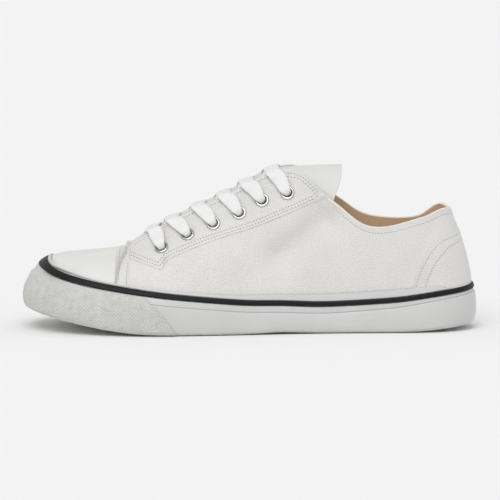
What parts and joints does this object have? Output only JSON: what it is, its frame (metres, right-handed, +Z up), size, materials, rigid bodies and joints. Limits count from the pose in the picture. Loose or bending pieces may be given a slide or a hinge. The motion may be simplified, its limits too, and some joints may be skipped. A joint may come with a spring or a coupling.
{
  "type": "canvas sneaker",
  "caption": "Low canvas lace-up sneaker, left shoe, with a rubber toe bumper, a stepped rubber side wall with a dark stripe, and crossed flat laces.",
  "frame": {"origin": "middle of the shoe's bounding box, on the ground", "axes": "+Z up, the toe points towards -X, the outer (lateral) side faces -Y"},
  "size_m": [0.2892, 0.1068, 0.1056],
  "materials": {
    "canvas": "off-white woven cotton canvas",
    "cap_coating": "smooth white coated toe cap",
    "wall_rubber": "smooth white rubber, slight gloss",
    "bumper_rubber": "finely textured white rubber",
    "stripe_rubber": "near-black satin rubber",
    "tread_rubber": "matte white rubber",
    "lining_fabric": "tan woven lining",
    "lace_cotton": "white flat woven cotton lace",
    "nickel": "bright nickel-plated eyelet"
  },
  "bodies": {
    "root": {"outsole": "tread_rubber", "sole_sidewall": "wall_rubber", "foxing_band": "wall_rubber", "foxing_stripe": "stripe_rubber", "toe_bumper": "bumper_rubber", "insole": "lining_fabric", "upper": "canvas", "toe_cap": "cap_coating", "heel_counter": "canvas", "tongue": "canvas", "eyestay_lateral": "canvas", "eyestay_medial": "canvas", "lace_bar_1": "lace_cotton", "lace_cross_2": "lace_cotton", "lace_cross_3": "lace_cotton", "lace_cross_4": "lace_cotton", "lace_cross_5": "lace_cotton", "lace_cross_6": "lace_cotton", "eyelet_lateral_1": "nickel", "eyelet_lateral_2": "nickel", "eyelet_lateral_3": "nickel", "eyelet_lateral_4": "nickel", "eyelet_lateral_5": "nickel", "eyelet_lateral_6": "nickel", "eyelet_medial_1": "nickel", "eyelet_medial_2": "nickel", "eyelet_medial_3": "nickel", "eyelet_medial_4": "nickel", "eyelet_medial_5": "nickel", "eyelet_medial_6": "nickel"}
  },
  "joints": []
}
